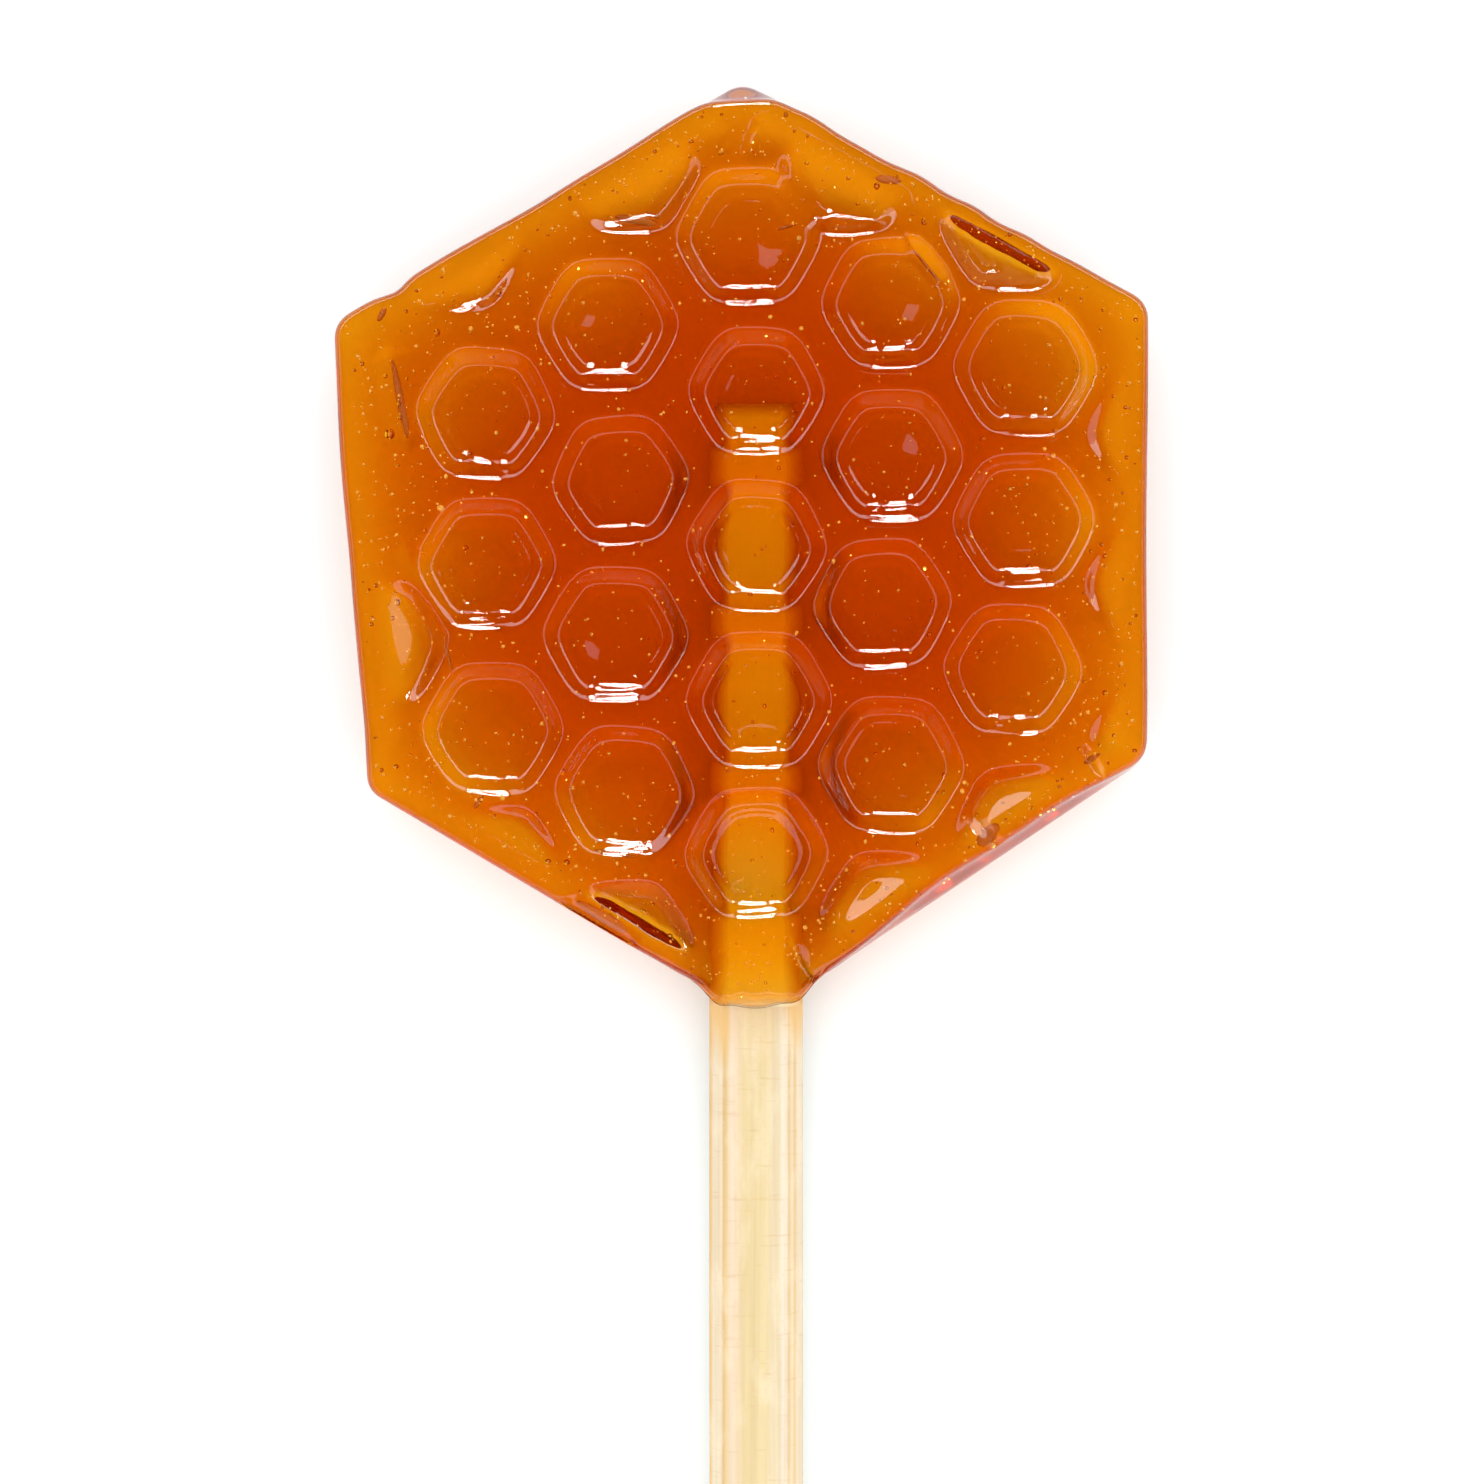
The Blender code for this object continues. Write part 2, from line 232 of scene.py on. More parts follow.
# how much of each colour there is: what it follows, from where to where, and its least and most
WOOD_SHARES = {
    "grain": (marks["grain"], 0.35, 0.75, 0.0, 0.30),
    "mottle": (marks["mottle"], 0.50, 0.72, 0.0, 0.45),
    "cross_marks": (marks["cross_marks"], 0.62, 0.74, 0.0, 0.30),
    "pink_flecks": (marks["pink_flecks"], 0.60, 0.70, 0.0, 0.35),
    "syrup": (syrup_reach, *SYRUP_Y, 0.0, 0.9),
    "on_chamfers": (off_middle, *CHAMFER_X, 0.25, 1.0),
    "painted_bright_inside": (wood_xyz.outputs["Y"], *INSIDE_CANDY_Y, 0.0, 1.0),
    "browner_edge": (off_middle, *BROWNER_EDGE_X, 0.0, 1.0),
    "browner_end": (wood_xyz.outputs["Y"], *BROWNER_END_Y, 0.0, 1.0),
}
shares = {}
for name, (followed, low, high, least, most) in WOOD_SHARES.items():
    shares[name] = add_node(tree, 'ShaderNodeMapRange', {}, {
        "Value": followed, "From Min": low, "From Max": high,
        "To Min": least, "To Max": most}).outputs[0]
stain = add_node(tree, 'ShaderNodeMath', {'operation': 'MULTIPLY'}, {
    0: shares["syrup"], 1: shares["on_chamfers"]}).outputs[0]
# the bare wood and the wood inside the candy, painted far paler as a painted brightening: each one's
# ground, and what lies over it in order
GROUNDS = (
    (bands.outputs["Color"], (
        (shares["grain"], "#B08E58"), (shares["mottle"], "#E4D6B8"),
        (shares["cross_marks"], "#C39B62"), (shares["pink_flecks"], "#D9B7A0"), (stain, "#DCB36E"))),
    # painted brightening: the wood inside the candy in a near-white cream
    ((*linear("#FFFDD0"), 1), (
        (shares["browner_edge"], "#C98F48"), (shares["browner_end"], "#BE8434"))),
)
woods = []
for wood, overlays in GROUNDS:
    for overlay_share, colour in overlays:
        wood = add_node(tree, 'ShaderNodeMix', {'data_type': 'RGBA'}, {
            0: overlay_share, 6: wood, 7: (*linear(colour), 1)}).outputs[2]
    woods.append(wood)
wood_colour = add_node(tree, 'ShaderNodeMix', {'data_type': 'RGBA'}, {
    0: shares["painted_bright_inside"], 6: woods[0], 7: woods[1]}).outputs[2]
bump = add_node(tree, 'ShaderNodeBump', {}, {
    "Height": marks["planing"], "Strength": 0.35, "Distance": 0.04 * MM})
shader = add_node(tree, 'ShaderNodeBsdfPrincipled', {}, {
    "Base Color": wood_colour, "Roughness": 0.55, "IOR": 1.5, "Normal": bump.outputs[0]})
add_node(tree, 'ShaderNodeOutputMaterial', {}, {"Surface": shader.outputs[0]})
stick.data.materials.append(birch)
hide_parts("stick")
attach(stick, "root")

# ------------------------------------------------------------------------------ the candy head
# Honey and sugar boiled to the hard crack and poured into a soft hexagonal mould: clear amber,
# glossy, its comb pressed in by the mould, its back bellied down to a thin edge.
candy_low, candy_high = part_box("candy")
HEAD_RADIUS = 25.2 * MM
HEAD_THICKNESS = candy_high.z
CORNER_DRIFT = (                 # how far each corner lies off a true hexagon, from the stick on
    (0.57 * MM, -1.30 * MM),
    (0.16 * MM, 0.45 * MM),
    (0.27 * MM, 0.40 * MM),
    (-0.34 * MM, 0.10 * MM),
    (-0.84 * MM, -0.79 * MM),
    (1.03 * MM, -1.24 * MM),
)
CORNER_SOFTNESS = np.array((0.085, 0.04, 0.04, 0.035, 0.04, 0.03))   # share of a side
# where the poured edge swells or draws in: place along the outline, half width, how far out
EDGE_SWELLS = (
    (-0.105, 0.035, 0.50), (0.105, 0.035, 0.50), (1.5, 0.22, -0.05),
    (2.18, 0.06, 0.08), (2.30, 0.05, 0.16), (2.43, 0.05, 0.22), (2.56, 0.06, 0.26),
    (2.70, 0.06, 0.05), (2.82, 0.05, 0.16), (2.93, 0.05, 0.10),
    (3.30, 0.09, -0.06), (3.52, 0.10, -0.10), (3.72, 0.05, 0.02), (3.86, 0.035, -0.32),
    (4.30, 0.20, 0.20), (4.62, 0.12, 0.06), (4.86, 0.08, -0.06),
)
# the head's section as distance in from the outline and height: up the side and over the flat
# front, and from the side in under the back, which bellied out as the poured sugar set
FRONT_PROFILE = np.array((
    (0.35, 2.75), (0.10, 2.9), (0.0, 3.2), (0.02, 4.4), (0.05, 5.9), (0.10, 6.75),
    (0.20, 7.1), (0.42, 7.28), (0.9, 7.36), (3.0, 7.42), (8.0, 7.48), (14.0, 7.5),
)) * MM
BELLY_PROFILE = np.array((
    (0.35, 2.75), (1.3, 2.35), (3.0, 1.80), (5.0, 1.22), (7.0, 0.75), (9.0, 0.40),
    (11.0, 0.15), (12.5, 0.0), (16.0, 0.0),
)) * MM
# how much further the front's edge stands in than the foot of the side: place along the
# outline, half width, how far
SIDE_DRAFTS = (
    (0.50, 0.20, 0.75), (0.80, 0.15, 0.55), (1.5, 0.4, 0.10), (2.5, 0.45, 0.32), (3.0, 0.07, 0.85),
    (3.4, 0.3, 0.12),
)
DRAFT_REACH = 4.0 * MM           # a draft fades out this far over the front
DRAFT_Z = (4.2 * MM, 6.9 * MM)   # and grows between these heights
BELLY_RINGS = 12
COLLAR_DEPTH = 0.36              # how much the back comes down round the stick at the collar
COLLAR_HALF_WIDTH = 6.0 * MM
COLLAR_Y = (14.0 * MM, 20.0 * MM)        # how far towards the stick it starts and is full
BACK_Z = 5.0 * MM                # points lower than this belong to the side's foot and the back
DIP_START_Y = -13.5 * MM         # from here the front slopes down to the collar's end
DIP_SLOPE = 0.175
DIP_BLEND = 3.0 * MM
DIP_HALF_WIDTH = 6.0 * MM
DIP_Z = (4.5 * MM, 7.0 * MM)     # the side follows the dip between these heights
FRONT_Z = 7.05 * MM              # points higher than this take the comb
BUMP_Z = (5.0 * MM, 7.0 * MM)    # the surface's slight unevenness grows between these heights
BUMPS = ((0.03 * MM, 6.0 * MM, 3), (0.004 * MM, 1.3 * MM, 4))    # height, length and seed of each
HEAD_ROWS = (13, 8)              # the disc is cut into 13 x 8 rows from middle to edge

CELL_PITCH = 8.42 * MM           # cell to cell along a column
COLUMN_STEP = 7.26 * MM          # column to column
COLUMN_RISE = 0.68 * MM          # how much each column to the right is lifted
COMB_MIDDLE = np.array((0.57, -0.45)) * MM
COMB_RINGS = 3                   # rings of cells round the middle one
CELL_DEPTH = 1.28 * MM
CELL_TILT = 0.06                 # the floors fall towards the side away from the stick
CELL_BOWL = 0.10 * MM            # how much a floor is hollowed
# a cell's wall, measured to the middle of the cell's flat sides: foot and top, everywhere and on
# the side nearest the stick, which was drafted more
CELL_WALL = np.array((2.78, 3.62)) * MM
LOW_WALL = np.array((2.50, 3.72)) * MM
WALL_SHARE = 0.86                # how much of the depth the wall has
# the rest of the depth is a low step round the floor: foot and top, everywhere and nearest the stick
STEP_WALL = np.array((2.14, 2.42)) * MM
LOW_STEP_WALL = np.array((1.60, 2.44)) * MM
LOW_SIDE = (0.87, 0.97)          # how squarely towards the stick a wall must lie to count as nearest
OUTER_SIDE = (0.0, 0.6)          # how squarely outwards a part of an outermost cell lies to run out
WALL_ROLL = 0.090 * MM           # how softly the wall bends at its foot and top
LOW_ROLL = 0.01 * MM             # and how much softer on the side nearest the stick
STEP_ROLL_SHARE = 0.6            # the step bends more sharply than the wall
WALL_RIPPLE = 0.015 * MM         # fine waviness of the walls nearest the stick
WALL_RIPPLE_LENGTH = 0.42 * MM
WALL_RIPPLE_SLANT = 0.7 / MM     # radians that the waves shift by along the wall
WALL_ZONE = (2.0 * MM, 3.95 * MM)        # how far from a cell's middle the mesh is cut finer
FINER_Z = 7.0 * MM               # and only on the front, higher than this
CELL_REACH = 5.5 * MM            # a cell shapes nothing further from its middle than this
BOWL_REACH = 2.4 * MM
# how uneven the cells are: middle, floor's lean, half width and turn in radians; then the least
# and the most share of the depth, share of the bowl and roundness of the floor
CELL_WANDER = 0.05 * MM
CELL_LEAN = 0.03
CELL_GROW = 0.08 * MM
CELL_TURN = 0.04
CELL_DEPTH_SHARE = (0.92, 1.08)
CELL_BOWL_SHARE = (-0.3, 1.8)
CELL_ROUNDNESS = (0.0, 0.6)
OVER_STICK_HALF = 3.2 * MM       # the lowest cell goes on over the stick, where there is no border
OVER_STICK_Y = -18.0 * MM
CORNER_SHARPNESS = 9             # how sharp the corners of a cell's rim are
ROUND_FROM = 2.2 * MM            # from here out to the rim's corners a rounder floor turns hexagonal
ROUND_OVER = 1.3 * MM
ROUND_TO_FLAT = 0.955            # a circle as wide as a hexagon on the whole
PLAIN_BORDER = (1.1 * MM, 2.0 * MM)               # where the comb's outermost cells run out
SOFT_BORDER = (1.2 * MM, 4.0 * MM)                # and where they fade out
ABRUPT_CELLS = ((2, 4), (-1, -5))
CELL_SHARES = {                  # cells deeper or shallower than the rest
    (0, -6): 0.15, (3, 3): 0.3, (3, 1): 0.75, (3, -1): 0.75, (3, -3): 0.8, (1, -3): 1.25, (-1, -3): 0.85,
    (0, 2): 1.05, (0, 0): 1.08, (0, -2): 1.08, (0, -4): 1.15,
}
# cells that the mould pressed a little aside: column and half steps of the cell, and how far
CELL_NUDGES = {
    (0, 4): (-0.50, 0.0), (-1, 3): (-0.90, 0.10), (-1, 1): (-0.20, 0.0), (-1, -1): (-0.45, 0.0),
    (1, -1): (-0.42, 0.30), (2, -2): (-0.60, 0.42), (-2, -2): (0.17, -0.22), (-2, 0): (-0.17, 0.38),
    (-2, 2): (-0.30, 0.10), (1, 5): (-2.23, -1.10), (2, 4): (-0.62, -0.68), (-1, 5): (0.20, 0.30),
    (-2, 4): (-2.1, 1.0), (-2, -4): (0.30, 0.6), (-3, -1): (1.05, 0.88),
}
CELLS_LEFT_OUT = ((-3, 3), (-3, 1), (-3, -3), (0, 6))
# dents along the border where the sugar set against the mould's rough edge, in millimetres: both
# ends, the width of the steep side towards the edge and of the gentle side, and depth
BORDER_DENTS = (
    (-19.4, 9.8, -18.5, 5.4, 1.00, 1.30, 0.30), (-18.4, -0.9, -16.7, -5.2, 0.80, 1.00, 0.26),
    (9.0, 16.0, 10.6, 14.1, 0.60, 0.50, 0.40), (-9.7, -20.1, -6.6, -22.3, 0.35, 1.20, 0.45),
    (12.6, -15.4, 13.7, -16.8, 0.50, 0.60, 0.30), (18.6, -11.7, 19.1, -12.6, 0.40, 0.40, 0.30),
)
DENT_END = 0.8 * MM              # a dent fades out over this past its ends
DENT_ROLLS = (0.04, 0.10)        # how softly it bends at its bottom and rim, as shares of its sides
DENT_ZONE = 0.2                  # millimetres past its steep side that the mesh is cut finer
HEAD_SEED = 7


def head_corners():
    corners = []
    for index, drift in enumerate(CORNER_DRIFT):
        angle = -pi / 2 + index * pi / 3
        corners.append((HEAD_RADIUS * cos(angle) + drift[0], HEAD_RADIUS * sin(angle) + drift[1]))
    return np.array(corners)


def outline_at(along):
    """The outline's points at along = 0 to 6, one side a unit, its corners rounded, its swells on."""
    corners = head_corners()
    side = np.floor(along).astype(int) % 6
    part = (along - np.floor(along))[:, None]
    start, end = corners[side], corners[(side + 1) % 6]
    points = start + (end - start) * part
    nearest = np.round(along).astype(int)
    past = (along - nearest)[:, None]
    here = nearest % 6
    coming = corners[here] - corners[(here - 1) % 6]
    going = corners[(here + 1) % 6] - corners[here]
    soft = CORNER_SOFTNESS[here][:, None]
    curved = (corners[here] - coming * (soft - past) ** 2 / (4 * soft)
              + going * (soft + past) ** 2 / (4 * soft))
    points = np.where(np.abs(past) < soft, curved, points)
    swell = np.zeros(len(along))
    for place, width, out in EDGE_SWELLS:
        apart = (along - place + 3) % 6 - 3
        swell += out * MM * np.exp(-(apart / width) ** 2)
    return points * (1 + swell / np.linalg.norm(points, axis=1))[:, None]


def smooth_line(points, rounds=4):
    """Corner cutting: the same line with its kinks rounded off."""
    for _ in range(rounds):
        near = points[:-1] * 0.75 + points[1:] * 0.25
        far = points[:-1] * 0.25 + points[1:] * 0.75
        middle_points = np.empty((len(near) * 2, 2))
        middle_points[0::2] = near
        middle_points[1::2] = far
        points = np.vstack((points[:1], middle_points, points[-1:]))
    return points


def comb_cells():
    """Each cell's middle, ring round the comb's middle, share of the depth and border.

    Those of ring 3 run out at the edge.
    """
    cells = []
    for column in range(-COMB_RINGS, COMB_RINGS + 1):
        reach = 2 * COMB_RINGS - abs(column)
        for half_steps in range(-reach, reach + 1, 2):
            if (column, half_steps) in CELLS_LEFT_OUT:
                continue
            ring = max(abs(column), (abs(column) + abs(half_steps)) / 2)
            offset = np.array((column * COLUMN_STEP,
                               column * COLUMN_RISE + half_steps * CELL_PITCH / 2))
            nudge = np.array(CELL_NUDGES.get((column, half_steps), (0.0, 0.0))) * MM
            share = CELL_SHARES.get((column, half_steps), 1.0)
            border = PLAIN_BORDER if (column, half_steps) in ABRUPT_CELLS else SOFT_BORDER
            cells.append((COMB_MIDDLE + offset + nudge, ring, share, border))
    return cells


def cell_distance(offset, roundness):
    """Distance from a cell's middle: hexagonal, flat sides up and down, at its rim; rounder inside."""
    away = np.linalg.norm(offset, axis=1)
    total = np.zeros(len(offset))
    for angle in (pi / 2, pi / 6, -pi / 6):
        across = np.abs(offset @ np.array((cos(angle), sin(angle))))
        total += (across / MM) ** CORNER_SHARPNESS
    hexagonal = total ** (1 / CORNER_SHARPNESS) * MM
    rim_share = 1 - roundness * (1 - np.clip((away - ROUND_FROM) / ROUND_OVER, 0.0, 1.0))
    return away * ROUND_TO_FLAT * (1 - rim_share) + hexagonal * rim_share


def soft_step(values, start, end):
    share = np.clip((values - start) / (end - start), 0.0, 1.0)
    return share * share * (3 - 2 * share)


def ramp(distance, foot, top, foot_roll, top_roll):
    """0 inside the foot, 1 outside the top, straight between them, each bend rolled."""
    up = foot_roll * np.logaddexp(0.0, (distance - foot) / foot_roll)
    down = top_roll * np.logaddexp(0.0, (distance - top) / top_roll)
    return (up - down) / (top - foot)


def distances_to_edge(xy):
    """How far points lie inside the straight-sided outline."""
    corners = head_corners()
    ahead = np.roll(corners, -1, axis=0) - corners
    inward = np.stack((-ahead[:, 1], ahead[:, 0]), axis=1) / np.linalg.norm(ahead, axis=1)[:, None]
    return np.min([(xy - start) @ normal for start, normal in zip(corners, inward)], axis=0)


def front_height(xy, level):
    """Height of the front at xy, where level is the plain head's height there, before the comb."""
    draws = np.random.default_rng(HEAD_SEED)
    height = level.copy()
    inset = distances_to_edge(xy)
    over_stick = np.exp(-((xy[:, 0] - middle.x) / OVER_STICK_HALF) ** 4) * (xy[:, 1] < OVER_STICK_Y)
    outwards = xy / np.maximum(np.linalg.norm(xy, axis=1), MM)[:, None]
    for centre, ring, share, border in comb_cells():
        offset = xy - centre - draws.normal(0.0, CELL_WANDER, 2)
        depth = CELL_DEPTH * draws.uniform(*CELL_DEPTH_SHARE)
        bowl = CELL_BOWL * draws.uniform(*CELL_BOWL_SHARE)
        lean = draws.normal(0.0, CELL_LEAN, 2)
        roundness = draws.uniform(*CELL_ROUNDNESS)
        phase = draws.uniform(0, 2 * pi)
        grow = draws.normal(0.0, CELL_GROW)
        turn = draws.normal(0.0, CELL_TURN)
        near = np.linalg.norm(offset, axis=1) < CELL_REACH
        here = offset[near]
        turned = here @ np.array(((cos(turn), sin(turn)), (-sin(turn), cos(turn))))
        distance = cell_distance(turned, roundness) - grow
        away = here / np.maximum(np.linalg.norm(here, axis=1), 0.1 * MM)[:, None]
        low = soft_step(-away[:, 1], *LOW_SIDE)
        outer = soft_step((away * outwards[near]).sum(axis=1), *OUTER_SIDE)
        foot, top = [a + (b - a) * low for a, b in zip(CELL_WALL, LOW_WALL)]
        step_foot, step_top = [a + (b - a) * low for a, b in zip(STEP_WALL, LOW_STEP_WALL)]
        roll = WALL_ROLL + LOW_ROLL * low
        step_roll = STEP_ROLL_SHARE * roll
        rim = WALL_SHARE * ramp(distance, foot, top, roll, roll)
        rim += (1 - WALL_SHARE) * ramp(distance, step_foot, step_top, step_roll, step_roll)
        if ring == COMB_RINGS and border is SOFT_BORDER:
            rim *= 1 - outer
        up_wall = np.clip((distance - foot) / (top - foot), 0, 1)
        waves = 2 * pi * (distance - foot) / WALL_RIPPLE_LENGTH
        ripple = np.sin(waves + phase + WALL_RIPPLE_SLANT * here[:, 0])
        ripple = WALL_RIPPLE * ripple * low * soft_step(4 * up_wall * (1 - up_wall), 0.0, 0.5)
        hollow = bowl * np.clip(1 - (distance / BOWL_REACH) ** 2, 0, 1) - here @ lean
        hollow += CELL_TILT * here[:, 1]
        sunk = (1 - rim) * (depth + hollow) * share + ripple
        in_comb = np.maximum(soft_step(inset[near], *border), over_stick[near])
        height[near] -= sunk * in_comb
    for x0, y0, x1, y1, steep, gentle, depth in BORDER_DENTS:
        start, end = np.array((x0, y0)) * MM, np.array((x1, y1)) * MM
        length = np.linalg.norm(end - start)
        ahead = (end - start) / length
        outward = np.array((ahead[1], -ahead[0])) * np.sign(start[0] * ahead[1] - start[1] * ahead[0])
        beyond = (xy - start) @ outward
        along_dent = (xy - start) @ ahead
        past_ends = np.maximum(np.maximum(-along_dent, along_dent - length), 0)
        rise = np.where(beyond > 0, beyond / steep, -beyond / gentle) / MM + past_ends / DENT_END
        height -= depth * MM * (1 - ramp(rise, 0.0, 1.0, *DENT_ROLLS))
    return height


bpy.ops.object.select_all(action='DESELECT')
bpy.ops.mesh.primitive_circle_add(vertices=6, radius=1.0, fill_type='TRIFAN')
head = bpy.context.active_object
head.name = "candy_head"
spokes = [pi / 2 + k * 2 * pi / 3 for k in range(3)]


def alternate_spoke(edge):
    a, b = (v.co.xy for v in edge.verts)
    if min(a.length, b.length) > 0.1:
        return False
    tip = a if a.length > b.length else b
    return any((tip - Vector((cos(s), sin(s)))).length < 0.1 for s in spokes)


edit_where(head, "edges", alternate_spoke)
bpy.ops.mesh.dissolve_edges()
bpy.ops.mesh.select_all(action='SELECT')
for rows in HEAD_ROWS:
    bpy.ops.mesh.subdivide(number_cuts=rows - 1)
bpy.ops.object.mode_set(mode='OBJECT')

# every point of the flat disc becomes a place along the outline and along the section
flat = points_of(head)[:, :2]
across = np.stack([flat @ np.array((cos(a), sin(a))) for a in (0.0, pi / 3, 2 * pi / 3)])
ring_share = np.abs(across).max(axis=0) / cos(pi / 6)
on_edge = flat / np.maximum(ring_share, 1e-9)[:, None]
turn = (np.arctan2(on_edge[:, 1], on_edge[:, 0]) + pi / 2) / (pi / 3) % 6
side = np.floor(turn)
from_middle = (turn - side - 0.5) * pi / 3
along = side + 0.5 + np.tan(from_middle) / (2 * tan(pi / 6))
section = smooth_line(FRONT_PROFILE)
steps = np.linalg.norm(np.diff(section, axis=0), axis=1)
reach = np.concatenate(([0.0], np.cumsum(steps)))
inradius = HEAD_RADIUS * cos(pi / 6)
travel = (1 - ring_share) * (reach[-1] + inradius - section[-1, 0])
inset = np.where(travel < reach[-1], np.interp(travel, reach, section[:, 0]),
                 section[-1, 0] + travel - reach[-1])
draft = np.zeros(len(along))
for where, width, far in SIDE_DRAFTS:
    apart = (along - where + 3) % 6 - 3
    draft += far * MM * np.exp(-(apart / width) ** 2)
risen = soft_step(np.interp(travel, reach, section[:, 1]), *DRAFT_Z)
inset = inset + draft * risen * np.clip(1 - inset / DRAFT_REACH, 0, 1)
xy = outline_at(along) * (1 - inset / inradius)[:, None]
set_points(head, np.column_stack((xy, np.interp(travel, reach, section[:, 1]))))


def near_a_dent(face):
    """Whether a face lies on the steep side of one of the border's dents."""
    place = np.array(face.calc_center_median()[:2])
    for x0, y0, x1, y1, steep, *_ in BORDER_DENTS:
        start, end = np.array((x0, y0)) * MM, np.array((x1, y1)) * MM
        share = np.clip((place - start) @ (end - start) / ((end - start) ** 2).sum(), 0, 1)
        if np.linalg.norm(place - start - share * (end - start)) < (steep + DENT_ZONE) * MM:
            return face.calc_center_median().z > FINER_Z
    return False


def on_a_wall(face):
    """Whether a face lies on the wall of a cell, where the mesh must be finer."""
    place = face.calc_center_median()
    away = (cell_places - np.array(place[:2]))
    away = away[np.argmin((away ** 2).sum(axis=1))][None]
    distance = float(cell_distance(away, CELL_ROUNDNESS[1])[0])
    return place.z > FINER_Z and WALL_ZONE[0] < distance < WALL_ZONE[1]


cell_places = np.array([cell[0] for cell in comb_cells()])
edit_where(head, "faces", on_a_wall)
bpy.ops.mesh.subdivide(number_cuts=1)
bpy.ops.object.mode_set(mode='OBJECT')
edit_where(head, "faces", near_a_dent)
bpy.ops.mesh.subdivide(number_cuts=2)
bpy.ops.object.mode_set(mode='OBJECT')
co = points_of(head)
level = co[:, 2].copy()
on_front = level > FRONT_Z
co[on_front, 2] = front_height(co[on_front, :2], level[on_front])
for height, length, seed in BUMPS:
    co[:, 2] += height * uneven(co, length, seed) * soft_step(level, *BUMP_Z)
fall = np.clip(DIP_START_Y - co[:, 1], 0, None)
over_stick = np.exp(-((co[:, 0] - middle.x) / DIP_HALF_WIDTH) ** 4)
dip = DIP_SLOPE * fall * soft_step(fall, 0, DIP_BLEND) * over_stick
co[:, 2] -= dip * soft_step(level, *DIP_Z)
set_points(head, co)

# the back: the outline's edge drawn in ring by ring along the belly
belly = smooth_line(BELLY_PROFILE, 5)
edit_where(head, "verts", lambda v: v.is_boundary)
before = belly[0]
for share in np.linspace(0, 1, BELLY_RINGS + 1)[1:]:
    inset_here = BELLY_PROFILE[0, 0] + (BELLY_PROFILE[-1, 0] - BELLY_PROFILE[0, 0]) * share
    here = np.array((inset_here, np.interp(inset_here, belly[:, 0], belly[:, 1])))
    shrink = (inradius - here[0]) / (inradius - before[0])
    bpy.ops.mesh.extrude_edges_move(TRANSFORM_OT_translate={"value": (0, 0, here[1] - before[1])})
    bpy.ops.transform.resize(value=(shrink, shrink, 1.0), center_override=(0, 0, 0))
    before = here
bpy.ops.mesh.merge(type='CENTER')
bpy.ops.mesh.select_all(action='SELECT')
bpy.ops.mesh.normals_make_consistent(inside=False)
bpy.ops.object.mode_set(mode='OBJECT')
co = points_of(head)
collar = np.exp(-((co[:, 0] - middle.x) / COLLAR_HALF_WIDTH) ** 2)
collar = collar * soft_step(-co[:, 1], *COLLAR_Y)
deeper = HEAD_THICKNESS - (HEAD_THICKNESS - co[:, 2]) * (1 + COLLAR_DEPTH * collar)
co[:, 2] = np.where(co[:, 2] < BACK_Z, np.maximum(deeper, 0.0), co[:, 2])
set_points(head, co)
bpy.ops.object.shade_smooth()

# Boiled honey sugar as it leaves the mould: glassy, and redder the thicker it is. Fine air and
# pollen near the surface give it a faint orange haze, which shades the comb's walls.
HAZE = 0.05                      # how much of the light the haze sends back
HONEY_DENSITY = 1193.0           # a metre: one millimetre looks pale gold, ten a deep orange
amber, tree = new_material("boiled_honey_sugar_moulded")
clear = add_node(tree, 'ShaderNodeBsdfPrincipled', {}, {
    "Base Color": (*linear("#FFFFFF"), 1), "Roughness": 0.0, "IOR": 1.5,
    "Transmission Weight": 1.0})
depth_colour = add_node(tree, 'ShaderNodeVolumeAbsorption', {}, {
    "Color": (*linear("#FBE900"), 1), "Density": HONEY_DENSITY})
haze = add_node(tree, 'ShaderNodeBsdfDiffuse', {}, {"Color": (*linear("#FF6500"), 1)})
hazy = add_node(tree, 'ShaderNodeMixShader', {}, {0: HAZE, 1: clear.outputs[0], 2: haze.outputs[0]})
add_node(tree, 'ShaderNodeOutputMaterial', {}, {
    "Surface": hazy.outputs[0], "Volume": depth_colour.outputs[0]})
head.data.materials.append(amber)
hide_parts("candy")
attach(head, "root")

# ------------------------------------------------------------------------------ bubbles, specks
# Air stirred into the hot sugar and caught as it set, and golden specks, which are painted glints
# standing
# in for the light tiny bubbles catch: hundreds of bubbles and thousands of specks, most near the edges,
# which cooled first.
BUBBLE_SEED = 11
CAUGHT_FROM_EDGE = 0.7 * MM      # none is nearer the outline than this
EDGE_ZONE = 8.0 * MM             # they grow fewer over this distance in from the outline
MIDDLE_SHARE = 0.25              # how many there are past it, next to the edge's number
OFF_HEAD = 0.25 * MM             # a place with no point of the front this near is off the head
SKIN = 0.06 * MM                 # sugar over the shallowest
CROWDING = 1.3                   # above 1, more of them lie shallow than deep
STICK_CLEAR = 0.3 * MM           # and between them and the stick
STICK_CLEAR_HALF = 3.1 * MM
front = points_of(head)
on_top = front[:, 2] > BACK_Z
tree_of_front = kdtree.KDTree(int(on_top.sum()))
for index in np.flatnonzero(on_top):
    tree_of_front.insert((front[index, 0], front[index, 1], 0.0), int(index))
tree_of_front.balance()


